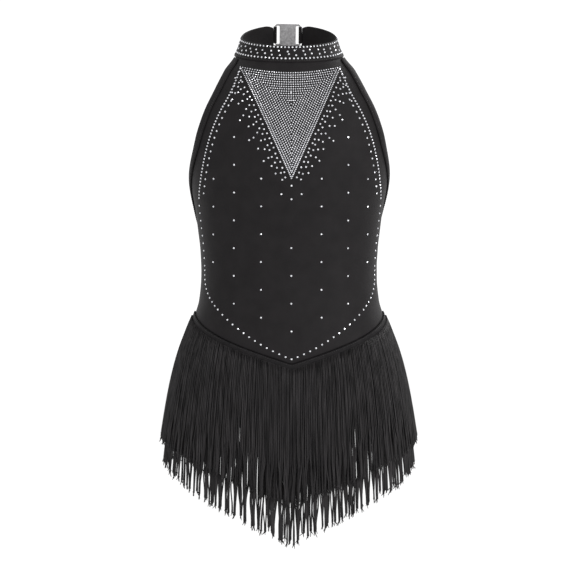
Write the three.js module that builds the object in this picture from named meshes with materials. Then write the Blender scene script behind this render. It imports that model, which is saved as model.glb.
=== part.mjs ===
// A girl's latin dance dress, filled out as if worn: a halter bodice on a stand collar that fastens
// behind the neck with a two-part metal clasp, a low scooped back, and a hip yoke that carries two
// tiers of fringe. The front seam and both front tiers dip to a point; the back runs level.
//
// Sizes are in millimetres and angles in degrees. +X is the wearer's left, -Y the front and +Z up.
// The origin is the middle of the neck, level with the sides of the collar's lower edge.
// A place on the cloth is a level (its height at the side of the body) and an angle, from 0 at the
// centre front to 90 at the left side and 180 at the centre back; the right side is negative.
import * as THREE from "three";

const CLOTH = 1.2; // wall of one layer of stretch cloth
const GAP = 0.3; // between two pieces at a seam
const LIFT = 0.6; // of a piece that lies on another, clear of its facets
const SIDE = 90; // the angle of the side seams
const BACK = 180; // the angle of the centre back

// The figure that the cloth follows, from the top of the collar down. half is half the width, front
// and back are the depths from the middle, and dip and rise tilt a ring: its centre front lies that
// much below the level of its sides, and its centre back that much above. square is how far a ring
// fills out between its axes, where 0 is a plain ellipse.
const FIGURE = [
  { level: 21.6, half: 56.4, front: 50, back: 44, dip: 11, rise: 17.5, square: 0 }, // top of the collar
  { level: 0, half: 65.4, front: 55, back: 51, dip: 9.5, rise: 9, square: 0 }, // foot of the neck
  { level: -17, half: 85.5, front: 60.5, back: 60, dip: 6, rise: 6, square: 0.01 },
  { level: -41, half: 103, front: 68.5, back: 68, dip: 2, rise: 4, square: 0.02 },
  { level: -65, half: 116, front: 76, back: 74, dip: 0, rise: 0, square: 0.025 },
  { level: -89, half: 121.5, front: 82, back: 78, dip: 0, rise: 0, square: 0.025 },
  { level: -113, half: 121, front: 86, back: 80, dip: 0, rise: 0, square: 0.025 }, // chest
  { level: -137, half: 120, front: 87, back: 80, dip: 0, rise: 0, square: 0.025 },
  { level: -160, half: 117, front: 86, back: 79, dip: 0, rise: 0, square: 0.025 }, // under the arms
  { level: -184, half: 112.5, front: 83.5, back: 77, dip: 0, rise: 0, square: 0.025 },
  { level: -209, half: 109.2, front: 80.5, back: 74, dip: 0, rise: 0, square: 0.025 },
  { level: -233, half: 106.4, front: 78.5, back: 71, dip: 0, rise: 0, square: 0.025 },
  { level: -265, half: 105.4, front: 78, back: 69, dip: 0, rise: 0, square: 0.025 }, // waist
  { level: -293, half: 108, front: 79.5, back: 73, dip: 0, rise: 0, square: 0.025 },
  { level: -306, half: 111.6, front: 81, back: 76, dip: 0, rise: 0, square: 0.025 }, // hip seam
  { level: -330, half: 119, front: 84.5, back: 83, dip: 0, rise: 0, square: 0.025 },
  { level: -355, half: 126, front: 87.5, back: 90, dip: 0, rise: 0, square: 0.025 },
  { level: -385, half: 131.5, front: 90, back: 95, dip: 0, rise: 0, square: 0.025 }, // hips
  { level: -420, half: 135.5, front: 91, back: 96, dip: 0, rise: 0, square: 0.025 },
  { level: -460, half: 138.5, front: 91.5, back: 95, dip: 0, rise: 0, square: 0.025 },
  { level: -500, half: 140, front: 92, back: 94, dip: 0, rise: 0, square: 0.025 },
  { level: -600, half: 141, front: 92, back: 92, dip: 0, rise: 0, square: 0.025 },
];

// The cut edge of the bodice, from the side of the collar round the front of the armhole, under the
// arm and across the low back.
const CUT_EDGE = [
  { angle: 79.5, level: 0 },
  { angle: 63.7, level: -17 },
  { angle: 57.5, level: -41 },
  { angle: 57, level: -65 },
  { angle: 61, level: -89 },
  { angle: 68, level: -111 },
  { angle: 75.5, level: -129 },
  { angle: 83, level: -143 },
  { angle: 90, level: -155 },
  { angle: 98.5, level: -175 },
  { angle: 109, level: -198 },
  { angle: 126, level: -223 },
  { angle: 150, level: -240 },
  { angle: 180, level: -245 },
];
const UNDERARM = -155; // where the cut edge crosses the side seam
const BINDING_WIDTH = 9;
const BINDING_STEPS = 44;
const BINDING_START = 0.012; // shares of the cut edge, just under the collar and at the centre back
const BINDING_FINISH = 0.9998;

// Level lines round the body: side is the level at the side seams, point the extra fall at the
// centre front, where bend 1 would be two straight lines, and sag the extra fall at the centre back.
const HIP_SEAM = { side: -306, point: 64, bend: 1.15, sag: 4 };
const LOWER_LINE = { side: -338, point: 89, bend: 1.15, sag: 4 };
const UPPER_HEM = { side: -461, point: 81, bend: 1.2, sag: 3 };
const LOWER_HEM = { side: -489, point: 99, bend: 1.25, sag: 3 };
const TAPE_WIDTH = 7.5; // the woven head that a fringe hangs from
const YOKE_TURN = 12; // how far the yoke runs on below the lower fringe's line

// How a tier of fringe stands off the figure: wall is its thickness, head its outer face at the
// tape, and flare the outward slope as it falls, which is less at the front and back.
const UPPER_FALL = { wall: 2.4, head: 4, flare: 0.085 };
const LOWER_FALL = { wall: 1.8, head: 2.1, flare: 0.065 };
const STRAIGHT_SHARE = 0.45; // of the flare that is left at the centre front and back

const COLLAR_WALL = 2; // two layers

// The clasp lies in its own plane: X across, Y up, Z towards the neck.
const CLASP = { half: 15.8, bar: 1.4, plate: 9.5, height: 26.8, rail: 2.2, thick: 1.2, corner: 2.4 };
const CLASP_BEVEL = 0.2;
const CLASP_LEVEL = 27; // the height of its middle
const LOOP = { cloth: 1, height: 20, corner: 0.9 };
const LOOP_REACH = CLASP.half + GAP + LOOP.cloth; // out to a loop's far side

const FINISH = {
  cloth: { color: 0x272526, roughness: 0.72, metalness: 0 },
  fringe: { color: 0x1f1d1e, roughness: 0.6, metalness: 0 },
  metal: { color: 0xa9a7a8, roughness: 0.32, metalness: 1 },
};

const radians = THREE.MathUtils.degToRad;

// The figure's ring at a level: each column of the table on a smooth curve through its rows.
function ringAt(level) {
  const last = FIGURE.length - 1;
  let i = 0;
  while (i < last - 1 && FIGURE[i + 1].level > level) i++;
  const slope = (k, column) => {
    const above = FIGURE[Math.max(k - 1, 0)];
    const below = FIGURE[Math.min(k + 1, last)];
    return (below[column] - above[column]) / (below.level - above.level);
  };
  const [a, b] = [FIGURE[i], FIGURE[i + 1]];
  const span = b.level - a.level;
  const t = THREE.MathUtils.clamp((level - a.level) / span, 0, 1);
  const ring = {};
  for (const column of ["half", "front", "back", "dip", "rise", "square"]) {
    ring[column] =
      a[column] * (1 + 2 * t) * (1 - t) ** 2 +
      slope(i, column) * span * t * (1 - t) ** 2 +
      b[column] * t * t * (3 - 2 * t) +
      slope(i + 1, column) * span * t * t * (t - 1);
  }
  return ring;
}

// A point on the cloth's outer face.
function onFigure(level, angle) {
  const ring = ringAt(level);
  const a = radians(angle);
  const across = (Math.sin(a) + ring.square * Math.sin(3 * a)) / (1 - ring.square);
  const along = (Math.cos(a) - ring.square * Math.cos(3 * a)) / (1 - ring.square);
  const depth = along > 0 ? ring.front : ring.back;
  const tilt = along > 0 ? ring.dip : ring.rise;
  return new THREE.Vector3(ring.half * across, -depth * along, level - tilt * along);
}

// The cloth's outward normal, with its directions round the body and down it.
function clothFrame(level, angle) {
  const step = 0.5;
  const round = onFigure(level, angle + step).sub(onFigure(level, angle - step)).divideScalar(2 * step);
  const down = onFigure(level - step, angle).sub(onFigure(level + step, angle)).divideScalar(2 * step);
  return { round, down, normal: new THREE.Vector3().crossVectors(down, round).normalize() };
}

// A point off the cloth's outer face by out, which is negative inside.
function offCloth(level, angle, out) {
  return onFigure(level, angle).addScaledVector(clothFrame(level, angle).normal, out);
}

// A level line's level at an angle.
function lineLevel(line, angle) {
  const turn = Math.abs(angle) / SIDE;
  if (turn <= 1) return line.side - line.point * (1 - turn) ** line.bend;
  return line.side - line.sag * Math.sin((turn - 1) * (Math.PI / 2));
}

const cutEdge = new THREE.CatmullRomCurve3(
  CUT_EDGE.map(({ angle, level }) => new THREE.Vector3(angle, level, 0)),
  false,
  "centripetal",
);

// The place on the cut edge where its angle ("x") or level ("y") passes a value.
function edgeWhere(axis, value, from, to) {
  let [low, high] = [from, to];
  const rising = cutEdge.getPoint(high)[axis] > cutEdge.getPoint(low)[axis];
  for (let i = 0; i < 40; i++) {
    const middle = (low + high) / 2;
    if (cutEdge.getPoint(middle)[axis] < value === rising) low = middle;
    else high = middle;
  }
  return cutEdge.getPoint((low + high) / 2);
}

const edgeAngle = (level) => edgeWhere("y", level, 0, 1).x;
const rearShare = CUT_EDGE.findIndex((row) => row.level === UNDERARM) / (CUT_EDGE.length - 1);
const edgeLevel = (angle) => edgeWhere("x", Math.abs(angle), rearShare, 1).y;

// A closed wall from two grids of points: place(i, j, face) gives the point of row i and column j,
// on the outer face when face is 1 and on the inner one when it is 0. Rows run down and columns
// from the right side of the wearer to the left, round the front.
function wall(rows, columns, place) {
  const positions = [];
  for (const face of [1, 0])
    for (let i = 0; i < rows; i++)
      for (let j = 0; j < columns; j++) positions.push(...place(i, j, face).toArray());
  const at = (i, j, face) => (1 - face) * rows * columns + i * columns + j;
  const index = [];
  const quad = (a, b, c, d) => index.push(a, b, c, a, c, d);
  for (let i = 0; i < rows - 1; i++)
    for (let j = 0; j < columns - 1; j++) {
      quad(at(i, j, 1), at(i + 1, j, 1), at(i + 1, j + 1, 1), at(i, j + 1, 1));
      quad(at(i, j, 0), at(i, j + 1, 0), at(i + 1, j + 1, 0), at(i + 1, j, 0));
    }
  for (let j = 0; j < columns - 1; j++) {
    quad(at(0, j, 1), at(0, j + 1, 1), at(0, j + 1, 0), at(0, j, 0));
    quad(at(rows - 1, j, 1), at(rows - 1, j, 0), at(rows - 1, j + 1, 0), at(rows - 1, j + 1, 1));
  }
  for (let i = 0; i < rows - 1; i++) {
    quad(at(i, 0, 1), at(i, 0, 0), at(i + 1, 0, 0), at(i + 1, 0, 1));
    const end = columns - 1;
    quad(at(i, end, 1), at(i + 1, end, 1), at(i + 1, end, 0), at(i, end, 0));
  }
  const geometry = new THREE.BufferGeometry();
  geometry.setAttribute("position", new THREE.Float32BufferAttribute(positions, 3));
  geometry.setIndex(index);
  geometry.computeVertexNormals();
  return geometry;
}

const mix = THREE.MathUtils.lerp;
const seamTurn = (level) => THREE.MathUtils.radToDeg(GAP / 2 / ringAt(level).front);

// Where the panels end at the side seams, on the front half and on the back half.
const FRONT = { from: -SIDE, to: SIDE, inset: 1 };
const REAR = { from: SIDE, to: 2 * BACK - SIDE, inset: 1 };

// An angle past the centre back, told from the other side.
const wrapped = (angle) => (angle > BACK ? angle - 2 * BACK : angle);

// A band between two level lines, on the front half or the back one.
function band(half, rows, columns, topLevel, bottomLevel, faces) {
  return wall(rows, columns, (i, j, face) => {
    const turn = seamTurn(HIP_SEAM.side);
    const angle = wrapped(mix(half.from + turn, half.to - turn, j / (columns - 1)));
    const level = mix(topLevel(angle), bottomLevel(angle), i / (rows - 1));
    return offCloth(level, angle, faces(level, angle)[face]);
  });
}

// The front bodice. Its rows run level under the collar and bend down to the seam's point below.
const FRONT_LEVELS = [
  0, -8, -17, -29, -41, -53, -65, -77, -89, -101, -113, -125, -137, -147, -155, -171, -188, -209,
  -233, -258, -283, -306,
];
const FRONT_COLUMNS = 21;

function frontPanel() {
  return wall(FRONT_LEVELS.length, FRONT_COLUMNS, (i, j, face) => {
    const row = FRONT_LEVELS[i];
    const end = row > UNDERARM ? edgeAngle(row) : SIDE - seamTurn(row);
    const angle = mix(-end, end, j / (FRONT_COLUMNS - 1));
    const share = Math.max(0, (row - UNDERARM) / (HIP_SEAM.side - UNDERARM)) ** 1.5;
    const fall = (HIP_SEAM.side - lineLevel(HIP_SEAM, angle)) * share;
    const inset = i === 0 ? -GAP : i === FRONT_LEVELS.length - 1 ? GAP / 2 : 0;
    return offCloth(row - fall + inset, angle, (face - 1) * CLOTH);
  });
}

const clothFaces = () => [-CLOTH, 0];
const lyingFaces = () => [LIFT, LIFT + CLOTH];

function backPanel() {
  const top = (angle) => edgeLevel(angle);
  const bottom = (angle) => lineLevel(HIP_SEAM, angle) + GAP / 2;
  return band(REAR, 8, 27, top, bottom, clothFaces);
}

// The binding on one side: a strip laid along the cut edge, from the collar to the centre back.
function binding(side) {
  const strips = 3;
  return wall(strips, BINDING_STEPS, (i, j, face) => {
    const share = side > 0 ? j / (BINDING_STEPS - 1) : 1 - j / (BINDING_STEPS - 1);
    const t = mix(BINDING_START, BINDING_FINISH, share);
    const edge = cutEdge.getPoint(t);
    const ahead = cutEdge.getTangent(t);
    const { round, down, normal } = clothFrame(edge.y, edge.x);
    const along = round.clone().multiplyScalar(ahead.x).addScaledVector(down, -ahead.y).normalize();
    const inward = new THREE.Vector3().crossVectors(along, normal);
    const width = (BINDING_WIDTH * i) / (strips - 1);
    const turn = (inward.dot(round) / round.lengthSq()) * width;
    const fall = (inward.dot(down) / down.lengthSq()) * width;
    const level = Math.min(edge.y - fall, -COLLAR_WALL / 2);
    const point = offCloth(level, edge.x + turn, lyingFaces()[face]);
    point.x *= side;
    return point;
  });
}

// One half of a fringe tape, laid just below a level line.
function tape(half, line) {
  const top = (angle) => lineLevel(line, angle);
  return band(half, 2, 23, top, (angle) => top(angle) - TAPE_WIDTH, lyingFaces);
}

// The plain solid of one half of a tier of fringe: a wall that hangs from its tape to its hem.
function fringe(half, line, hem, fall) {
  const top = (angle) => lineLevel(line, angle) - TAPE_WIDTH - GAP;
  const faces = (level, angle) => {
    const spread = mix(STRAIGHT_SHARE, 1, Math.sin(radians(angle)) ** 2);
    const outer = fall.head + fall.flare * spread * (top(angle) - level);
    return [outer - fall.wall, outer];
  };
  return band(half, 8, 23, top, (angle) => lineLevel(hem, angle), faces);
}

function yoke(half) {
  const top = (angle) => lineLevel(HIP_SEAM, angle) - GAP / 2;
  const bottom = (angle) => lineLevel(LOWER_LINE, angle) - YOKE_TURN;
  return band(half, 5, 23, top, bottom, clothFaces);
}

// The angle where the collar's ends meet their loops, at a level.
function collarEnd(level) {
  return BACK - THREE.MathUtils.radToDeg(Math.asin((LOOP_REACH + 2 * GAP) / ringAt(level).half));
}

function collar() {
  const [rows, columns] = [4, 49];
  return wall(rows, columns, (i, j, face) => {
    const level = mix(FIGURE[0].level, FIGURE[1].level, i / (rows - 1));
    const angle = mix(-collarEnd(level), collarEnd(level), j / (columns - 1));
    return offCloth(level, angle, (face - 0.5) * COLLAR_WALL);
  });
}

// A closed outline through points, as a shape or as a hole in one.
function outline(points, Kind = THREE.Shape) {
  return new Kind(points.map(([x, y]) => new THREE.Vector2(x, y)));
}

// A rectangle with its corners cut off.
function cutCorners(left, right, low, high, cut) {
  return [
    [left + cut, low],
    [right - cut, low],
    [right, low + cut],
    [right, high - cut],
    [right - cut, high],
    [left + cut, high],
    [left, high - cut],
    [left, low + cut],
  ];
}

// One half of the clasp: a plate with a slot for the collar's end, beside a narrow bar.
function claspHalf(side) {
  const { half, bar, plate, height, rail, thick, corner } = CLASP;
  const top = height / 2 - CLASP_BEVEL;
  const [from, to] = [-plate + CLASP_BEVEL, half - CLASP_BEVEL];
  const shape = outline(cutCorners(from, to, -top, top, corner));
  const slotTop = height / 2 - rail;
  shape.holes.push(outline(cutCorners(plate, half - bar, -slotTop, slotTop, 0.8), THREE.Path));
  const geometry = new THREE.ExtrudeGeometry(shape, {
    depth: thick - 2 * CLASP_BEVEL,
    bevelSize: CLASP_BEVEL,
    bevelThickness: CLASP_BEVEL,
    bevelSegments: 1,
  });
  return geometry.rotateY(side > 0 ? 0 : Math.PI);
}

// The cloth loop round a clasp bar: a sleeve with the bar's hole through it.
function collarLoop() {
  const { bar, thick } = CLASP;
  const [x, y] = [bar / 2 + GAP, thick / 2 + GAP];
  const shape = outline(cutCorners(-x - LOOP.cloth, x + LOOP.cloth, -y - LOOP.cloth, y + LOOP.cloth, LOOP.corner));
  shape.holes.push(outline(cutCorners(-x, x, -y, y, 0.2), THREE.Path));
  const geometry = new THREE.ExtrudeGeometry(shape, { depth: LOOP.height, bevelEnabled: false });
  return geometry.translate(0, 0, -LOOP.height / 2).rotateX(Math.PI / 2);
}

const dress = new THREE.Group();

function add(name, geometry, finish, parent = dress) {
  const mesh = new THREE.Mesh(geometry, new THREE.MeshStandardMaterial(finish));
  mesh.name = name;
  parent.add(mesh);
  return mesh;
}

add("collar", collar(), FINISH.cloth);
add("front_panel", frontPanel(), FINISH.cloth);
add("back_panel", backPanel(), FINISH.cloth);
add("binding_left", binding(1), FINISH.cloth);
add("binding_right", binding(-1), FINISH.cloth);
for (const [place, half] of [["front", FRONT], ["back", REAR]]) {
  add(`yoke_${place}`, yoke(half), FINISH.cloth);
  add(`tape_upper_${place}`, tape(half, HIP_SEAM), FINISH.fringe);
  add(`tape_lower_${place}`, tape(half, LOWER_LINE), FINISH.fringe);
  add(`fringe_upper_${place}`, fringe(half, HIP_SEAM, UPPER_HEM, UPPER_FALL), FINISH.fringe);
  add(`fringe_lower_${place}`, fringe(half, LOWER_LINE, LOWER_HEM, LOWER_FALL), FINISH.fringe);
}

// The clasp stands in the gap between the collar's ends, leaning with the nape.
const nape = new THREE.Group();
const [napeTop, napeFoot] = FIGURE.slice(0, 2).map((row) => onFigure(row.level, BACK));
const endMiddle = onFigure(FIGURE[0].level / 2, collarEnd(FIGURE[0].level / 2));
nape.position.set(0, endMiddle.y, CLASP_LEVEL);
nape.rotation.x = Math.PI / 2 + Math.atan2(napeFoot.y - napeTop.y, napeTop.z - napeFoot.z);
dress.add(nape);
for (const [name, side] of [["left", 1], ["right", -1]]) {
  const layer = (side * (CLASP.thick + GAP)) / 2;
  const half = add(`clasp_${name}`, claspHalf(side), FINISH.metal, nape);
  half.position.z = layer - side * (CLASP.thick / 2 - CLASP_BEVEL);
  const loop = add(`collar_loop_${name}`, collarLoop(), FINISH.cloth, nape);
  loop.position.set(side * (CLASP.half - CLASP.bar / 2), 0, layer);
}

export default dress;
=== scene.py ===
import math

import bpy
import numpy as np
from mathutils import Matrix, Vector
from mathutils.bvhtree import BVHTree


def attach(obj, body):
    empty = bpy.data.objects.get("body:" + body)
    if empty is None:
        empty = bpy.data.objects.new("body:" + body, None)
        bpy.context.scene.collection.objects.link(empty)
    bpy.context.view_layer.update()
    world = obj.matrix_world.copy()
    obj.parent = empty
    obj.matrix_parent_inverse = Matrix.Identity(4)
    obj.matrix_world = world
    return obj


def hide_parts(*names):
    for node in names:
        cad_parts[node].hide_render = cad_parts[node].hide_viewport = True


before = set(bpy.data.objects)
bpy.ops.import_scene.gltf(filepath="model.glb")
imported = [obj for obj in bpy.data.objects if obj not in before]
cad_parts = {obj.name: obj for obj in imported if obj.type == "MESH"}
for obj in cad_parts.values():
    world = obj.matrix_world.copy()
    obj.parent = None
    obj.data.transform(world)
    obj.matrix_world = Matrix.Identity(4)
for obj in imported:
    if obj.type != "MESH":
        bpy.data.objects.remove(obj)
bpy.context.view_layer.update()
SEED = 7
rng = np.random.default_rng(SEED)

# ---- the figure that fills the dress -----------------------------------------------------------
# Lengths are in millimetres, and a place on the cloth is a level and an angle, as in the CAD:
# 0 degrees is the centre front, 90 the wearer's left side and 180 the centre back.

MM = 0.001
SIDE = 90  # angle of the side seam
HALVES = {"front": (-SIDE, SIDE), "back": (SIDE, 360 - SIDE)}
COLLAR_HEIGHT = 21.6
UNDERARM = -155  # level where the armhole meets the side seam
HIP_SIDE = -306  # level of the hip seam at the side
FIGURE = np.array([  # level, half width, front depth, back depth, dip, rise, squareness
    (COLLAR_HEIGHT, 56.4, 50, 44, 11, 17.5, 0),
    (0, 65.4, 55, 51, 9.5, 9, 0),
    (-17, 85.5, 60.5, 60, 6, 6, 0.01),
    (-41, 103, 68.5, 68, 2, 4, 0.02),
    (-65, 116, 76, 74, 0, 0, 0.025),
    (-89, 121.5, 82, 78, 0, 0, 0.025),
    (-113, 121, 86, 80, 0, 0, 0.025),
    (-137, 120, 87, 80, 0, 0, 0.025),
    (-160, 117, 86, 79, 0, 0, 0.025),
    (-184, 112.5, 83.5, 77, 0, 0, 0.025),
    (-209, 109.2, 80.5, 74, 0, 0, 0.025),
    (-233, 106.4, 78.5, 71, 0, 0, 0.025),
    (-265, 105.4, 78, 69, 0, 0, 0.025),
    (-293, 108, 79.5, 73, 0, 0, 0.025),
    (HIP_SIDE, 111.6, 81, 76, 0, 0, 0.025),
    (-330, 119, 84.5, 83, 0, 0, 0.025),
    (-355, 126, 87.5, 90, 0, 0, 0.025),
    (-385, 131.5, 90, 95, 0, 0, 0.025),
    (-420, 135.5, 91, 96, 0, 0, 0.025),
    (-460, 138.5, 91.5, 95, 0, 0, 0.025),
    (-500, 140, 92, 94, 0, 0, 0.025),
    (-600, 141, 92, 92, 0, 0, 0.025)])

# The edge cut for the armhole and the low back, from the collar to the centre back.
CUT_EDGE = np.array([  # angle, level
    (79.5, 0), (63.7, -17), (57.5, -41), (57, -65), (61, -89), (68, -111), (75.5, -129),
    (83, -143), (SIDE, UNDERARM), (98.5, -175), (109, -198), (126, -223), (150, -240),
    (180, -245)])

# Lines round the figure: level at the side, extra fall in front, its bend, extra fall behind.
HIP_SEAM = (HIP_SIDE, 64, 1.15, 4)
LOWER_LINE = (-338, 89, 1.15, 4)
UPPER_HEM = (-461, 81, 1.2, 3)
LOWER_HEM = (-489, 99, 1.25, 3)

CLOTH = 1.2  # thickness of the knit, as in the CAD
LIFT = 0.6  # how far a fringe's tape stands off the cloth under it
GAP = 0.3  # between pieces that meet at a seam
TAPE_WIDTH = 7.5
YOKE_TURN = 12  # how far the yoke runs on below the lower fringe's line


# The figure's section at a level, by a smooth curve through the rows of FIGURE.
def ring_at(level):
    level = np.asarray(level, float)
    rows = FIGURE[::-1]
    x = rows[:, 0]
    slopes = np.empty_like(rows[:, 1:])
    slopes[1:-1] = (rows[2:, 1:] - rows[:-2, 1:]) / (x[2:] - x[:-2])[:, None]
    slopes[0] = (rows[1, 1:] - rows[0, 1:]) / (x[1] - x[0])
    slopes[-1] = (rows[-1, 1:] - rows[-2, 1:]) / (x[-1] - x[-2])
    i = np.clip(np.searchsorted(x, level) - 1, 0, len(x) - 2)
    span = x[i + 1] - x[i]
    t = np.clip((level - x[i]) / span, 0, 1)[..., None]
    span = span[..., None]
    return (rows[i, 1:] * (1 + 2 * t) * (1 - t) ** 2 + slopes[i] * span * t * (1 - t) ** 2
            + rows[i + 1, 1:] * t * t * (3 - 2 * t) + slopes[i + 1] * span * t * t * (t - 1))


# Points on the figure. The dip lowers a level in front and the rise lifts it behind.
def on_figure(level, angle):
    level, angle = np.broadcast_arrays(np.asarray(level, float), np.asarray(angle, float))
    ring = ring_at(level)
    a = np.radians(angle)
    q = ring[..., 5]
    across = (np.sin(a) + q * np.sin(3 * a)) / (1 - q)
    along = (np.cos(a) - q * np.cos(3 * a)) / (1 - q)
    depth = np.where(along > 0, ring[..., 1], ring[..., 2])
    tilt = np.where(along > 0, ring[..., 3], ring[..., 4])
    return np.stack([ring[..., 0] * across, -depth * along, level - tilt * along], -1)


# The way round the figure for a degree, the way down it for a millimetre, and the way out.
def cloth_frame(level, angle):
    step = 0.5
    around = (on_figure(level, angle + step) - on_figure(level, angle - step)) / (2 * step)
    down = (on_figure(level - step, angle) - on_figure(level + step, angle)) / (2 * step)
    normal = np.cross(down, around)
    normal /= np.linalg.norm(normal, axis=-1, keepdims=True)
    return around, down, normal


def off_cloth(level, angle, out):
    normal = cloth_frame(level, angle)[2]
    return on_figure(level, angle) + normal * np.asarray(out, float)[..., None]


def line_level(line, angle):
    side, point, bend, sag = line
    turn = np.abs(((np.asarray(angle, float) + 180) % 360) - 180) / SIDE
    front = side - point * np.clip(1 - turn, 0, None) ** bend
    back = side - sag * np.sin(np.clip(turn - 1, 0, 1) * math.pi / 2)
    return np.where(turn <= 1, front, back)


# A smooth curve through a list of points, which passes from each to the next in equal steps.
def smooth_curve(rows, count):
    rows = np.asarray(rows, float)
    n = len(rows)
    t = np.linspace(0, n - 1, count)
    i = np.clip(t.astype(int), 0, n - 2)
    f = (t - i)[:, None]
    before, after = rows[np.clip(i - 1, 0, n - 1)], rows[np.clip(i + 2, 0, n - 1)]
    a, b = rows[i], rows[i + 1]
    return 0.5 * (2 * a + (b - before) * f + (2 * before - 5 * a + 4 * b - after) * f ** 2
                  + (3 * a - before - 3 * b + after) * f ** 3)


def distance_along(points):
    return np.concatenate([[0], np.cumsum(np.linalg.norm(np.diff(points, axis=0), axis=1))])


EDGE = smooth_curve(CUT_EDGE, 400)


def edge_angle(level):
    return np.interp(-np.asarray(level, float), -EDGE[:, 1], EDGE[:, 0])


def edge_level(angle):
    rear = EDGE[EDGE[:, 1] < UNDERARM + 5]
    return np.interp(np.abs(angle), rear[:, 0], rear[:, 1])


# ---- meshes ------------------------------------------------------------------------------------

def make_piece(name, points, faces, material, replaces=(), smooth=True):
    mesh = bpy.data.meshes.new(name)
    points = np.asarray(points, float).reshape(-1, 3) * MM
    mesh.vertices.add(len(points))
    mesh.vertices.foreach_set("co", points.ravel())
    loops = np.concatenate([np.asarray(f).ravel() for f in faces]).astype(np.int32)
    counts = np.concatenate([np.full(len(f), np.asarray(f).shape[1]) for f in faces])
    starts = np.concatenate([[0], np.cumsum(counts)[:-1]]).astype(np.int32)
    mesh.loops.add(len(loops))
    mesh.loops.foreach_set("vertex_index", loops)
    mesh.polygons.add(len(counts))
    mesh.polygons.foreach_set("loop_start", starts)
    mesh.polygons.foreach_set("use_smooth", np.full(len(counts), smooth))
    mesh.update(calc_edges=True)
    mesh.validate()
    mesh.materials.append(material)
    piece = bpy.data.objects.new(name, mesh)
    bpy.context.collection.objects.link(piece)
    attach(piece, "root")
    if replaces:
        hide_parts(*replaces)
    return piece


def quads_of(rows, columns):
    i, j = np.meshgrid(np.arange(rows - 1), np.arange(columns - 1), indexing="ij")
    a = (i * columns + j).ravel()
    return np.stack([a, a + columns, a + columns + 1, a + 1], 1)


# A closed wall from an outer and an inner grid of points.
def wall(outer, inner):
    rows, columns = outer.shape[:2]
    size = rows * columns
    front = quads_of(rows, columns)
    back = front[:, ::-1] + size
    top = np.arange(columns)
    bottom = (rows - 1) * columns + top
    left = np.arange(rows) * columns
    right = left + columns - 1
    rims = []
    for line, flip in ((top, False), (bottom, True), (left, True), (right, False)):
        rim = np.stack([line[:-1], line[1:], line[1:] + size, line[:-1] + size], 1)
        rims.append(rim[:, ::-1] if flip else rim)
    return np.concatenate([outer.reshape(-1, 3), inner.reshape(-1, 3)]), [front, back, *rims]


# Closed tubes: rings has the shape (tube, station, side, 3).
def tubes(rings):
    count, stations, sides = rings.shape[:3]
    i, j = np.meshgrid(np.arange(stations - 1), np.arange(sides), indexing="ij")
    a = (i * sides + j).ravel()
    b = (i * sides + (j + 1) % sides).ravel()
    quads = np.stack([a, b, b + sides, a + sides], 1)
    first = np.arange(sides)[::-1][None]
    last = ((stations - 1) * sides + np.arange(sides))[None]
    base = (np.arange(count) * stations * sides)[:, None, None]
    faces = [(quads[None] + base).reshape(-1, 4), (first[None] + base).reshape(-1, sides),
             (last[None] + base).reshape(-1, sides)]
    return rings.reshape(-1, 3), faces


# Rings of a cord about its path: path is (tube, station, 3) and radius (tube, station).
def cord_rings(path, radius, sides):
    never_along = np.array([0.31, 0.94, 0.13])  # a direction that no cord follows
    tiny = 1e-9
    along = np.gradient(path, axis=1)
    along /= np.linalg.norm(along, axis=-1, keepdims=True) + tiny
    u = np.cross(along, never_along)
    u /= np.linalg.norm(u, axis=-1, keepdims=True) + tiny
    v = np.cross(along, u)
    turn = np.linspace(0, 2 * math.pi, sides, endpoint=False)
    return (path[:, :, None] + radius[..., None, None]
            * (u[:, :, None] * np.cos(turn)[:, None] + v[:, :, None] * np.sin(turn)[:, None]))


# Several meshes as one: each is its points and its list of faces.
def joined(meshes):
    points, faces, before = [], [], 0
    for mesh_points, mesh_faces in meshes:
        points.append(mesh_points)
        faces += [face + before for face in mesh_faces]
        before += len(mesh_points)
    return np.concatenate(points), faces

# ---- materials ---------------------------------------------------------------------------------

# A material whose colour drifts between two shades; patch is the noise's scale and grain its
# stretch, so a small last number draws the noise out into upright streaks.
def shader(name, color, dark, rough, sheen=0.0, metallic=0.0, patch=60.0, specular=0.09,
           grain=(1, 1, 1)):
    material = bpy.data.materials.new(name)
    material.use_nodes = True
    nodes, links = material.node_tree.nodes, material.node_tree.links
    bsdf = nodes["Principled BSDF"]
    bsdf.inputs["Roughness"].default_value = rough
    bsdf.inputs["Metallic"].default_value = metallic
    bsdf.inputs["Sheen Weight"].default_value = sheen
    bsdf.inputs["Sheen Roughness"].default_value = 0.4
    bsdf.inputs["Specular IOR Level"].default_value = specular
    place = nodes.new("ShaderNodeTexCoord")
    noise = nodes.new("ShaderNodeTexNoise")
    noise.inputs["Scale"].default_value = patch
    noise.inputs["Detail"].default_value = 4
    ramp = nodes.new("ShaderNodeValToRGB")
    ramp.color_ramp.elements[0].position = 0.3
    ramp.color_ramp.elements[0].color = (*dark, 1)
    ramp.color_ramp.elements[1].position = 0.7
    ramp.color_ramp.elements[1].color = (*color, 1)
    stretch = nodes.new("ShaderNodeMapping")
    stretch.inputs["Scale"].default_value = grain
    links.new(place.outputs["Object"], stretch.inputs["Vector"])
    links.new(stretch.outputs["Vector"], noise.inputs["Vector"])
    links.new(noise.outputs["Fac"], ramp.inputs["Fac"])
    links.new(ramp.outputs["Color"], bsdf.inputs["Base Color"])
    return material, nodes, links, bsdf, place


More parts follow.
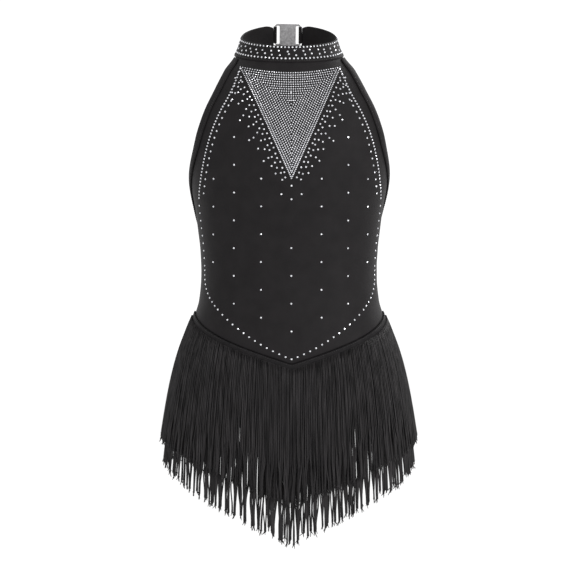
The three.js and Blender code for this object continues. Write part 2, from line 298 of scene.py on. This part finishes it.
# Adds textures up into one bump: each is its kind of node, its scale and its stretch.
def add_bump(parts, textures, strength, distance):
    material, nodes, links, bsdf, place = parts
    height = None
    for kind, scale, stretch in textures:
        mapping = nodes.new("ShaderNodeMapping")
        mapping.inputs["Scale"].default_value = stretch
        links.new(place.outputs["Object"], mapping.inputs["Vector"])
        texture = nodes.new(kind)
        texture.inputs["Scale"].default_value = scale
        links.new(mapping.outputs["Vector"], texture.inputs["Vector"])
        out = texture.outputs["Fac" if "Fac" in texture.outputs else "Distance"]
        if height is None:
            height = out
        else:
            total = nodes.new("ShaderNodeMath")
            total.operation = "ADD"
            links.new(height, total.inputs[0])
            links.new(out, total.inputs[1])
            height = total.outputs[0]
    bump = nodes.new("ShaderNodeBump")
    bump.inputs["Strength"].default_value = strength
    bump.inputs["Distance"].default_value = distance
    links.new(height, bump.inputs["Height"])
    links.new(bump.outputs["Normal"], bsdf.inputs["Normal"])
    return material


knit = add_bump(
    shader("black_stretch_knit", (0.0118, 0.0106, 0.0112), (0.0088, 0.0079, 0.0084),
           rough=0.58, sheen=0.015),
    [("ShaderNodeTexWave", 320, (1, 1, 0.35)),
     ("ShaderNodeTexVoronoi", 1500, (1, 1, 0.6)),
     ("ShaderNodeTexNoise", 45, (1, 1, 1))], strength=0.25, distance=0.0002)
chainette = add_bump(
    shader("black_chainette", (0.029, 0.027, 0.028), (0.003, 0.0028, 0.003),
           rough=0.42, sheen=0.02, patch=330, specular=0.11, grain=(1, 1, 0.035)),
    [("ShaderNodeTexVoronoi", 900, (1, 1, 0.8))], strength=0.5, distance=0.0003)
woven = add_bump(
    shader("black_woven_tape", (0.0125, 0.0115, 0.012), (0.007, 0.0065, 0.007),
           rough=0.7, sheen=0.02, patch=200),
    [("ShaderNodeTexVoronoi", 1100, (1, 1, 1))], strength=0.5, distance=0.0003)
thread = add_bump(
    shader("black_thread", (0.03, 0.028, 0.029), (0.015, 0.014, 0.0145),
           rough=0.4, patch=300, specular=0.3),
    [("ShaderNodeTexVoronoi", 2500, (1, 1, 1))], strength=0.4, distance=0.0002)
steel = add_bump(
    shader("brushed_clasp", (0.52, 0.51, 0.52), (0.27, 0.265, 0.27),
           rough=0.42, metallic=0.35, patch=400, specular=0.5),
    [("ShaderNodeTexNoise", 220, (14, 1, 0.6))], strength=0.3, distance=0.0001)
crystal = shader("foil_backed_crystal", (0.97, 0.97, 1.0), (0.5, 0.51, 0.54),
                 rough=0.09, metallic=0.9, patch=350, specular=0.5)[0]

# ---- bodice ------------------------------------------------------------------------------------

# Soft creases of the stretched knit: each is a ridge along a short line, with a hollow beside it.
CREASES = [  # x and z of each end, half width, height
    (60, -34, 20, -30, 5, 0.5), (-62, -33, -24, -29, 5, 0.5), (96, -150, 60, -128, 8, 0.7),
    (-97, -152, -62, -131, 8, 0.7), (100, -236, 52, -246, 7, 0.6),
    (-100, -240, -48, -250, 7, 0.6), (101, -262, 66, -270, 6, 0.5),
    (-101, -266, -60, -273, 6, 0.5), (96, -292, 58, -312, 6, 0.6),
    (-96, -292, -56, -313, 6, 0.6), (18, -352, 6, -318, 6, 0.4), (-20, -350, -8, -316, 6, 0.4)]
CREASE_HEIGHT = 0.8  # share of the heights above that the cloth shows
CREASE_PEAK, CREASE_FADE = 0.35, 0.42  # shares of the line's length
HOLLOW_DEPTH, HOLLOW_PLACE = 0.5, 1.6  # share of the height, and half widths from the ridge

SEAM_DEPTH, SEAM_HALF_WIDTH = 0.55, 0.9  # of the drawn-in side seam: millimetres and degrees
SEAM_TOP = UNDERARM - 10
COLLAR_TUCK = 3  # how far the front's first row runs up between the collar's layers


def crease(points):
    lift = np.zeros(points.shape[:-1])
    for x0, z0, x1, z1, width, height in CREASES:
        d = np.array([x1 - x0, z1 - z0], float)
        length = np.hypot(*d)
        d /= length
        px, pz = points[..., 0] - x0, points[..., 2] - z0
        u = (px * d[0] + pz * d[1]) / length
        v = px * -d[1] + pz * d[0]
        fade = np.exp(-((u - CREASE_PEAK) / CREASE_FADE) ** 2)
        hollow = np.exp(-((v - HOLLOW_PLACE * width) / width) ** 2)
        lift += height * fade * (np.exp(-(v / width) ** 2) - HOLLOW_DEPTH * hollow)
    return lift


# The front runs from the collar to the hip seam, and its lower rows bend into the seam's point.
def front_grid(rows, columns):
    upper_rows = rows // 2
    tops = np.concatenate([np.linspace(0, UNDERARM, upper_rows),
                           np.linspace(UNDERARM - 3, HIP_SIDE, rows - upper_rows)])
    end = np.where(tops > UNDERARM, edge_angle(tops), SIDE)
    angle = end[:, None] * np.linspace(-1, 1, columns)[None]
    share = np.clip((tops - UNDERARM) / (HIP_SIDE - UNDERARM), 0, 1) ** 1.5
    level = tops[:, None] - (HIP_SIDE - line_level(HIP_SEAM, angle)) * share[:, None]
    level[0] += COLLAR_TUCK
    level[-1] += GAP / 2
    return level, angle


# The back runs from the low cut edge to the hip seam.
def back_grid(rows, columns):
    angle = np.linspace(*HALVES["back"], columns)
    top = edge_level(np.where(angle > 180, 360 - angle, angle))
    bottom = line_level(HIP_SEAM, angle) + GAP / 2
    share = np.linspace(0, 1, rows)[:, None]
    return top * (1 - share) + bottom * share, np.broadcast_to(angle, (rows, columns))


def panel(name, level, angle, replaces):
    outer = on_figure(level, angle)
    normal = cloth_frame(level, angle)[2]
    lift = np.where(np.abs(angle) < SIDE, crease(outer), 0) * CREASE_HEIGHT
    from_seam = np.minimum(np.abs(np.abs(angle) - SIDE), np.abs(angle - (360 - SIDE)))
    seam = np.exp(-(from_seam / SEAM_HALF_WIDTH) ** 2) * (outer[..., 2] < SEAM_TOP)
    lift -= SEAM_DEPTH * seam
    outer = outer + normal * lift[..., None]
    points, faces = wall(outer, outer - normal * CLOTH)
    return make_piece(name, points, faces, knit, replaces)


front = panel("front_bodice", *front_grid(150, 130), ["front_panel"])
back = panel("back_bodice", *back_grid(50, 120), ["back_panel"])


# A band between two lines, each given with an offset, as a front and a back half; inside and
# outside are how far its faces stand off the figure, and crown is the rise of its middle.
def bands(name, node, upper, lower, material, inside, outside, crown=0.0, rows=14):
    pieces = []
    for place, (first, last) in HALVES.items():
        angles = np.linspace(first, last, 110)
        t = np.linspace(0, 1, rows)[:, None]
        top = line_level(upper[0], angles) + upper[1]
        bottom = line_level(lower[0], angles) + lower[1]
        levels = top * (1 - t) + bottom * t
        grid = np.broadcast_to(angles, levels.shape)
        rise = np.sin(math.pi * t) * crown * np.ones_like(levels)
        points, faces = wall(off_cloth(levels, grid, outside + rise),
                             off_cloth(levels, grid, inside))
        pieces.append(make_piece(f"{name}_{place}", points, faces, material,
                                 [f"{node}_{place}"]))
    return pieces


yokes = bands("yoke_cloth", "yoke", (HIP_SEAM, -GAP / 2), (LOWER_LINE, -YOKE_TURN), knit,
              -CLOTH, 0, rows=24)
for tier, line in (("upper", HIP_SEAM), ("lower", LOWER_LINE)):
    bands(f"woven_tape_{tier}", f"tape_{tier}", (line, 0), (line, -TAPE_WIDTH), woven,
          LIFT, LIFT + CLOTH, crown=0.25)

# The binding: a folded strip with rounded edges, laid along the cut edge.
BINDING_PROFILE = [  # across the strip, from its outer edge, and up off the cloth
    (-0.9, -0.6), (-0.9, 0.9), (-0.2, 1.9), (1.4, 2.2), (4.5, 2.25), (7.4, 2.05), (8.7, 1.5),
    (9.0, 0.7), (8.6, 0.45), (4.5, 0.5), (0.7, 0.5), (0.5, -0.5)]
BINDING_TOP = -1.0  # the strip's end is cut off level, just below the collar
STITCHED = 7.4  # how far across the strip its stitches run
STITCH_RISE = 0.08  # of a stitch's middle above the strip
stitch_lines = []


def binding(name, side, node):
    # every second point of the edge, from just under the collar to the centre back
    run = np.concatenate([EDGE[5:-2:2], EDGE[-1:]])
    ahead = np.gradient(run, axis=0)
    around, down, normal = cloth_frame(run[:, 1], run[:, 0])
    along = around * ahead[:, :1] - down * ahead[:, 1:]
    along /= np.linalg.norm(along, axis=-1, keepdims=True)
    inward = np.cross(along, normal)
    rings = []
    for across, up in BINDING_PROFILE:
        turn = (inward * around).sum(-1) / (around ** 2).sum(-1) * across
        fall = (inward * down).sum(-1) / (down ** 2).sum(-1) * across
        level = np.minimum(run[:, 1] - fall, BINDING_TOP)
        rings.append(off_cloth(level, run[:, 0] + turn, up))
        if across == STITCHED:
            stitch_lines.append((rings[-1] + normal * STITCH_RISE) * (side, 1, 1))
    rings = np.stack(rings, 1)[None]
    rings[..., 0] *= side
    if side < 0:
        rings = rings[:, :, ::-1]
    points, faces = tubes(rings)
    make_piece(name, points, faces, knit, [node])


binding("armhole_binding_left", 1, "binding_left")
binding("armhole_binding_right", -1, "binding_right")

# The collar: two layers folded at the top, drawn in at its ends towards the clasp's loops.
COLLAR_PROFILE = [  # share of the height from the top, and out from the middle of the wall
    (0.0, 0.0), (0.012, 0.75), (0.05, 1.1), (0.3, 1.2), (0.6, 1.15), (0.92, 1.1),
    (0.985, 0.8), (1.0, 0.0), (0.985, -0.8), (0.9, -1.0), (0.5, -1.0), (0.05, -1.0),
    (0.012, -0.75)]
COLLAR_END = 17.3  # from the centre back to each end, across
PINCH_START = 0.93  # share of the way from the centre front to an end
PINCH = 0.1  # share of the height that each long edge draws in by at an end


def collar():
    turn = np.linspace(-1, 1, 181)
    pinch = np.clip((np.abs(turn) - PINCH_START) / (1 - PINCH_START), 0, 1) ** 2 * PINCH
    rings = []
    for share, out in COLLAR_PROFILE:
        level = COLLAR_HEIGHT * (1 - share)
        end = 180 - math.degrees(math.asin(COLLAR_END / ring_at(level)[0]))
        levels = level + (COLLAR_HEIGHT - 2 * level) * pinch
        rings.append(off_cloth(levels, turn * end, out))
    rings = np.stack(rings, 1)[None]
    points, faces = tubes(rings[:, :, ::-1])
    make_piece("stand_collar", points, faces, knit, ["collar"])


collar()

# Rows of short stitches along the bindings, the collar's foot and the upper tape.
STITCH_LENGTH, STITCH_PITCH = 2.0, 2.9
STITCH_MARGIN = 2  # a row starts this far in, and ends twice as far from its line's end
FOOT_STITCHES = (1.6, 1.25)  # level, and distance from the figure
TAPE_STITCHES = (1.4, TAPE_WIDTH - 1.2)  # below the hip seam
STITCH_TAPER = (0.5, 1, 1, 0.5)  # shares of the thread's radius along a stitch
THREAD_RADIUS = 0.2


def stitches():
    rows = []
    for line in stitch_lines:
        run = distance_along(line)
        starts = np.arange(STITCH_MARGIN, run[-1] - 2 * STITCH_MARGIN, STITCH_PITCH)
        at = starts[:, None] + np.linspace(0, STITCH_LENGTH, len(STITCH_TAPER))[None]
        rows.append(np.stack([np.interp(at, run, line[:, k]) for k in range(3)], -1))
    path = np.concatenate(rows)
    radius = np.repeat(np.array([STITCH_TAPER]) * THREAD_RADIUS, len(path), 0)
    points, faces = tubes(cord_rings(path, radius, 6))
    make_piece("stitches", points, faces, thread)


collar_foot = np.linspace(-160, 160, 400)
stitch_lines.append(off_cloth(FOOT_STITCHES[0], collar_foot, FOOT_STITCHES[1]))
hips = np.linspace(-180, 180, 500)
for below in TAPE_STITCHES:
    stitch_lines.append(off_cloth(line_level(HIP_SEAM, hips) - below, hips,
                                  LIFT + CLOTH + THREAD_RADIUS))
stitches()

# ---- fringe ------------------------------------------------------------------------------------

CORD_LAYERS, CORD_STATIONS, CORD_SIDES = 2, 26, 5
CORD_RADIUS = 0.88
CORD_DEPTH = 0.85  # from a tier's face to the middle of the layer of cords at it
CORD_TUCK = 2.0  # how far above the tape's lower edge a cord starts
TUFT_SIZES = [2, 3, 4, 5, 6]  # cords in a tuft
TUFT_CHANCES = [0.2, 0.3, 0.25, 0.15, 0.1]
TIP_RAISE = 5  # of the longest tips above the hem line, which leaves room for knots and ends
GATHER_START, GATHER_RUN = 52, 48  # measured up from a cord's tip, and down from there
GATHER = 0.9  # share of the way to its tuft's middle that a cord reaches
DRAW_IN = 0.4  # share of the way to the tier's middle that a full gather draws a cord
FLARE_IN_FRONT, FLARE_TO_SIDE = 0.45, 0.55
HIP_RADIUS = 115.0  # about the mean radius at the fringe
DEGREES = 180 / math.pi / HIP_RADIUS  # round the hips for a millimetre
# How far chance moves things, as a normal spread in millimetres.
CORD_SHIFT = 0.16  # at the tape, as a share of the pitch
TUFT_DRIFT, TIP_DRIFT, CORD_BOW, CORD_WANDER = 0.9, 1.0, 0.9, 0.18


# A tier of fringe over half the figure. Each cord runs from the tape to the hem, and neighbours
# gather into tufts at their tips. wall_depth is the tier's whole thickness, head its outer
# face's distance from the cloth at the tape, and flare that face's slope outwards.
def fringe(name, node, place, line, hem, head, wall_depth, flare, pitch):
    fine = np.linspace(*HALVES[place], 900)
    run = distance_along(on_figure(line_level(line, fine) - TAPE_WIDTH, fine))
    angles, depths = [], []
    for layer in range(CORD_LAYERS):
        where = np.arange(pitch * (0.2 + 0.5 * layer), run[-1], pitch)
        where = where + rng.normal(0, CORD_SHIFT * pitch, len(where))
        angles.append(np.interp(np.clip(where, 0, run[-1]), run, fine))
        depths.append(np.full(len(where), CORD_DEPTH + layer * (wall_depth - 2 * CORD_DEPTH)))
    angles, depths = np.concatenate(angles), np.concatenate(depths)
    order = np.argsort(angles)
    angles, depths = angles[order], depths[order][:, None]
    count = len(angles)

    sizes = rng.choice(TUFT_SIZES, size=count, p=TUFT_CHANCES)
    tuft = np.repeat(np.arange(count), sizes)[:count]
    tufts = tuft[-1] + 1
    middle = np.array([angles[tuft == k].mean() for k in range(tufts)])
    drift = rng.normal(0, TUFT_DRIFT, tufts)
    shorter = np.abs(rng.normal(0, 3.2, tufts) - np.abs(rng.normal(0, 3.0, tufts))) * 0.8

    t = np.linspace(0, 1, CORD_STATIONS)[None] ** 0.85
    top = line_level(line, angles) - TAPE_WIDTH + CORD_TUCK
    end = (line_level(hem, middle)[tuft] + TIP_RAISE + shorter[tuft]
           + rng.normal(0, TIP_DRIFT, count))
    level = top[:, None] + (end - top)[:, None] * t
    length = (top - end)[:, None]
    gather = np.clip((t * length - (length - GATHER_START)) / GATHER_RUN, 0, 1)
    gather = gather ** 2 * (3 - 2 * gather) * GATHER

    wave = (np.sin(t * rng.uniform(3, 9, (count, 1)) + rng.uniform(0, 6.28, (count, 1)))
            * rng.uniform(0.1, 0.75, (count, 1)) * t)
    bow = np.sin(gather * math.pi) * rng.normal(0, CORD_BOW, (count, 1))
    aim = (middle + drift * DEGREES * 1.4)[tuft][:, None]
    angle = angles[:, None] * (1 - gather) + aim * gather + (wave + bow) * DEGREES
    spread = FLARE_IN_FRONT + FLARE_TO_SIDE * np.sin(np.radians(angle)) ** 2
    outer = head + flare * spread * (level[:, :1] - level)
    ease = depths * (1 - DRAW_IN * gather) + 0.5 * wall_depth * DRAW_IN * gather
    wander = rng.normal(0, CORD_WANDER, (count, 1)) * t
    path = off_cloth(level, angle, outer - ease + wander)
    radius = np.full(path.shape[:2], CORD_RADIUS) * rng.uniform(0.85, 1.12, (count, 1))
    radius[:, 0] *= 0.6
    cords = tubes(cord_rings(path, radius, CORD_SIDES))

    tips = np.array([path[tuft == k, -1].mean(axis=0) for k in range(tufts)])
    points, faces = joined([cords, knots(tips), split_ends(tips)])
    make_piece(name, points, faces, chainette, [node])


# A barrel-shaped knot at each tuft's tip.
def knots(tips):
    half_height = 1.7
    share = np.linspace(-1, 1, 5)
    path = tips[:, None] + np.stack([0 * share, 0 * share, -half_height * share], -1)[None]
    barrel = np.sqrt(np.clip(1.02 - share ** 2, 0.05, 1))
    radius = barrel[None] * rng.uniform(1.1, 1.6, (len(tips), 1))
    return tubes(cord_rings(path, radius, 6))


# Three short, splayed ends below each knot.
def split_ends(tips):
    starts = np.repeat(tips, 3, axis=0)
    count = len(starts)
    share = np.linspace(0, 1, 4)
    splay = np.stack([rng.normal(0, 1.5, count), rng.normal(0, 0.9, count),
                      -rng.uniform(3, 6.5, count)], -1)
    path = starts[:, None] + splay[:, None] * share[None, :, None]
    radius = np.repeat((0.62 - 0.3 * share)[None], count, 0)
    return tubes(cord_rings(path, radius, 4))


for place in HALVES:
    fringe(f"cords_upper_{place}", f"fringe_upper_{place}", place, HIP_SEAM, UPPER_HEM,
           head=4.0, wall_depth=2.9, flare=0.085, pitch=1.9)
    fringe(f"cords_lower_{place}", f"fringe_lower_{place}", place, LOWER_LINE, LOWER_HEM,
           head=2.1, wall_depth=2.0, flare=0.065, pitch=2.1)

# ---- stones ------------------------------------------------------------------------------------

body_tree = BVHTree.FromObject(front, bpy.context.evaluated_depsgraph_get())
stones = {"triangle": [], "border": [], "scatter": [], "collar": []}
TRIANGLE_STONE, BODY_STONE = 1.72, 2.3  # widths
LOOSE_STONE, POINT_STONE = 2.15, 2.4
FRONT_LIMIT = 0.02  # metres: a hit further back than this is past the side seam


# A stone on the front of the bodice, where a level line of sight at (x, z) meets it.
def front_stone(group, x, z, size):
    hit, normal, _, _ = body_tree.ray_cast(Vector((x * MM, -1, z * MM)), Vector((0, 1, 0)))
    if hit is not None and hit.y < FRONT_LIMIT:
        stones[group].append((np.array(hit) / MM, np.array(normal), size))


# The triangle: rows nested inside one another, each a curved top and two straight sides.
TRIANGLE_HALF, TRIANGLE_TOP, TRIANGLE_SAG, TRIANGLE_TIP = 59.5, -14.5, 7.5, -148
TRIANGLE_RINGS = 16
STONE_PITCH = 2.78
CLOSE_RINGS, CLOSE_PITCH = 2, 0.84  # the outermost rings' sides, and their share of the pitch
NARROWEST_TOP = 0.4  # half width of the smallest top row, as a share of the pitch
slope = math.atan2(TRIANGLE_HALF, TRIANGLE_TOP - TRIANGLE_TIP)


def triangle_top(x):
    return TRIANGLE_TOP - TRIANGLE_SAG * (1 - (x / TRIANGLE_HALF) ** 2)


def side_x(z, inset):
    return (z - TRIANGLE_TIP) * math.tan(slope) - inset / math.cos(slope)


# Half the width of a ring's top: how far out it meets the ring's side.
def top_reach(inset):
    step = 0.1
    reach = 0.0
    while reach < TRIANGLE_HALF and side_x(triangle_top(reach) - inset, inset) > reach:
        reach += step
    return max(reach - step, 0)


def triangle_ring(ring):
    inset = ring * STONE_PITCH
    reach = top_reach(inset)
    if reach > STONE_PITCH * NARROWEST_TOP:
        for x in np.linspace(-reach, reach, 2 * round(reach / STONE_PITCH) + 1):
            front_stone("triangle", x, triangle_top(x) - inset, TRIANGLE_STONE)
    z_start = triangle_top(reach) - inset
    z_end = TRIANGLE_TIP + inset / math.sin(slope)
    length = (z_start - z_end) / math.cos(slope)
    pitch = STONE_PITCH * (CLOSE_PITCH if ring < CLOSE_RINGS else 1.0)
    steps = max(round(length / pitch), 1)
    for k in range(1, steps + 1):
        z = z_start - k * length / steps * math.cos(slope)
        x = side_x(z, inset)
        for side in ((-1, 1) if k < steps else (1,)):
            front_stone("triangle", side * max(x, 0), z, TRIANGLE_STONE)


for ring in range(TRIANGLE_RINGS):
    triangle_ring(ring)

# Loose rows beside the triangle, thinning outwards, and a few stones below its tip.
LOOSE_ROWS = [  # distance from the triangle's side, pitch, where the row starts and ends
    (5.4, 6.2, 8, 150), (10.2, 7.4, 12, 152), (15.5, 10.5, 20, 146), (21.5, 15, 27, 134),
    (28, 26, 36, 118)]
ROW_SHIFT = 2.2  # each row starts this much further along than the last
STREWN_X, STREWN_Z = 0.9, 1
for side in (-1, 1):
    for row, (offset, pitch, first, last) in enumerate(LOOSE_ROWS):
        for along in np.arange(first + ROW_SHIFT * row, last, pitch):
            z = TRIANGLE_TOP - along * math.cos(slope)
            x = side_x(z, -offset) + rng.uniform(-STREWN_X, STREWN_X)
            front_stone("scatter", side * x, z + rng.uniform(-STREWN_Z, STREWN_Z), LOOSE_STONE)
BELOW_TIP = ((0, -157), (12, -167), (-12, -167), (0, -173))  # x and z
for x, z in BELOW_TIP:
    front_stone("scatter", x, z, BODY_STONE)

# The border: from the triangle's corners beside the armholes, down the sides and to the point.
BORDER = [  # half width and level
    (59.5, -16.5), (66, -33), (74, -50), (84, -68), (92, -86), (98.5, -106), (103.5, -128),
    (107, -150), (108.5, -172), (106, -200), (103, -228), (101.5, -252), (101, -272),
    (97, -288), (88.5, -302), (75.5, -316.5), (61.5, -328.5), (45.5, -340), (28, -350.5),
    (9.5, -359.5), (0, -362.5)]
BORDER_PITCHES = ((-170, 3.9), (-250, 9.0), (-300, 5.6))  # down to each level
POINT_PITCH = 8.2  # below the last of them
POINT_CLEAR = 3  # the rows stop this short of the point, which has one stone of its own
SECOND_ROW = (14, 172, 8.4)  # where it starts along the border, how deep it ends, its pitch
SECOND_IN, SECOND_DOWN = 5.2, 1.5  # from the border to the second row
border = smooth_curve(BORDER, 600)
border_run = distance_along(border)


def border_place(along):
    return (np.interp(along, border_run, border[:, 0]), np.interp(along, border_run, border[:, 1]))


def border_pitch(level):
    return next((pitch for end, pitch in BORDER_PITCHES if level > end), POINT_PITCH)


along = 0.0
while along < border_run[-1] - POINT_CLEAR:
    x, z = border_place(along)
    for side in (-1, 1):
        front_stone("border", side * x, z, BODY_STONE)
    along += border_pitch(z)
front_stone("border", 0, -363, POINT_STONE)
start, end_depth, pitch = SECOND_ROW
for along in np.arange(start, np.interp(end_depth, -border[:, 1], border_run), pitch):
    x, z = border_place(along)
    for side in (-1, 1):
        front_stone("border", side * (x - SECOND_IN), z - SECOND_DOWN, BODY_STONE)

# Single stones in columns over the bodice, every second column half a pitch lower.
COLUMNS = (0, 36, 68, 92)  # distance from the centre front
COLUMN_TOP, COLUMN_END, COLUMN_PITCH = -66, -352, 33
MIDDLE_TOP = -185  # the centre column starts below the triangle's loose stones
CLEAR_OF_TRIANGLE, CLEAR_OF_BORDER = 31, 9
for index, column in enumerate(COLUMNS):
    z = COLUMN_TOP - (COLUMN_PITCH / 2 if index % 2 else 0)
    while z > COLUMN_END:
        clear_of_triangle = column > side_x(z, -CLEAR_OF_TRIANGLE)
        clear_of_border = column < np.interp(-z, -border[:, 1], border[:, 0]) - CLEAR_OF_BORDER
        if clear_of_triangle and clear_of_border and (column or z < MIDDLE_TOP):
            for side in ((-1, 1) if column else (1,)):
                front_stone("scatter", side * column, z, BODY_STONE)
        z -= COLUMN_PITCH

# Rows round the collar: an even one along each edge, and two loose ones between them.
COLLAR_STONES_END = 152  # angle
COLLAR_FACE = 1.12  # how far the collar's face stands off the figure
LOOSE_ALONG, LOOSE_UP = 1.2, 0.9
COLLAR_ROWS = (  # level, pitch, size, where it starts as a share of the pitch, looseness
    (19.3, 4.4, 2.1, 0.5, 0), (14.6, 9.6, 2.3, 0.5, 1), (9.8, 9.6, 2.3, 1.0, 1),
    (5.0, 4.9, 2.3, 0.5, 0))
for level, pitch, size, start, loose in COLLAR_ROWS:
    fine = np.linspace(-COLLAR_STONES_END, COLLAR_STONES_END, 1200)
    run = distance_along(on_figure(level, fine))
    where = np.arange(pitch * start, run[-1], pitch)
    if loose:
        where = where + rng.uniform(-LOOSE_ALONG, LOOSE_ALONG, len(where))
    around = np.interp(where, run, fine)
    wobble = rng.uniform(-LOOSE_UP, LOOSE_UP, len(around)) if loose else np.zeros(len(around))
    spots = off_cloth(level + wobble, around, COLLAR_FACE)
    normals = cloth_frame(level + wobble, around)[2]
    stones["collar"] += [(spot, normal, size) for spot, normal in zip(spots, normals)]

# One stone: a flat back, a girdle and a faceted crown, by radius and height as shares of width.
STONE_RINGS = [(0.46, -0.05), (0.5, 0.08), (0.36, 0.27), (0.22, 0.36)]
STONE_SIDES = 8


def stone_piece(name, group):
    spots, normals, sizes = (np.array(column) for column in zip(*group))
    u = np.cross(normals, np.array([0.2, 0.1, 1.0]))
    u /= np.linalg.norm(u, axis=1, keepdims=True)
    v = np.cross(normals, u)
    spin = rng.uniform(0, 2 * math.pi, len(group))
    rings = []
    for index, (radius, height) in enumerate(STONE_RINGS):
        stagger = math.pi / STONE_SIDES if index > 1 else 0  # turns the crown's facets
        turn = np.arange(STONE_SIDES) * 2 * math.pi / STONE_SIDES + stagger
        a = (spin[:, None] + turn[None])[..., None]
        circle = u[:, None] * np.cos(a) + v[:, None] * np.sin(a)
        rings.append(spots[:, None] + sizes[:, None, None]
                     * (radius * circle + height * normals[:, None]))
    points, faces = tubes(np.stack(rings, 1))
    make_piece(name, points, faces, crystal, smooth=False)


for group, rows in stones.items():
    stone_piece(f"stones_{group}", rows)

# ---- the clasp and loops keep their CAD shape and take finished materials -----------------------

for node, finish in (("clasp_left", steel), ("clasp_right", steel), ("collar_loop_left", knit),
                     ("collar_loop_right", knit)):
    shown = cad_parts[node]
    if not shown.material_slots:
        shown.data.materials.append(finish)
    for slot in shown.material_slots:
        slot.material = finish

# ---- stage, light and camera (metres) -----------------------------------------------------------

FLOOR_LEVEL, FLOOR_SIZE = -0.76, 80
bpy.ops.mesh.primitive_plane_add(size=FLOOR_SIZE, location=(0, 0, FLOOR_LEVEL))
floor = bpy.context.object
floor.name = "floor"
paint = bpy.data.materials.new("pale_floor")
paint.use_nodes = True
paint.node_tree.nodes["Principled BSDF"].inputs["Base Color"].default_value = (0.93, 0.93, 0.93, 1)
paint.node_tree.nodes["Principled BSDF"].inputs["Roughness"].default_value = 0.9
floor.data.materials.append(paint)

scene = bpy.context.scene
world = bpy.data.worlds.new("studio")
scene.world = world
world.use_nodes = True
world.node_tree.nodes["Background"].inputs["Color"].default_value = (1, 1, 1, 1)
world.node_tree.nodes["Background"].inputs["Strength"].default_value = 1.1
scene.view_settings.view_transform = "Standard"
scene.view_settings.look = "None"

LIGHTS = (  # name, place, what it points at, width, watts
    ("key", (2.4, -2.6, 1.0), (0, 0, -0.25), 1.2, 60),
    ("rim", (1.8, 1.6, 1.2), (0, 0, -0.2), 1.0, 25))
for name, place, target, size, power in LIGHTS:
    light = bpy.data.lights.new(name, "AREA")
    light.size = size
    light.energy = power
    lamp = bpy.data.objects.new(name, light)
    lamp.location = place
    lamp.rotation_euler = (Vector(target) - Vector(place)).to_track_quat("-Z", "Y").to_euler()
    bpy.context.collection.objects.link(lamp)

# A far camera with a long lens, which stands a little to the wearer's right.
DISTANCE, YAW, VIEW_WIDTH = 8.0, math.radians(2.0), 0.6912
SENSOR = 36
TARGET = Vector((-0.0012, 0, -0.2784))
camera = bpy.data.cameras.new("camera")
camera.sensor_width = SENSOR
camera.lens = SENSOR * DISTANCE / VIEW_WIDTH
camera.clip_end = 200
viewer = bpy.data.objects.new("camera", camera)
viewer.location = TARGET + Vector((-math.sin(YAW), -math.cos(YAW), 0)) * DISTANCE
viewer.rotation_euler = (TARGET - viewer.location).to_track_quat("-Z", "Y").to_euler()
bpy.context.collection.objects.link(viewer)
scene.camera = viewer
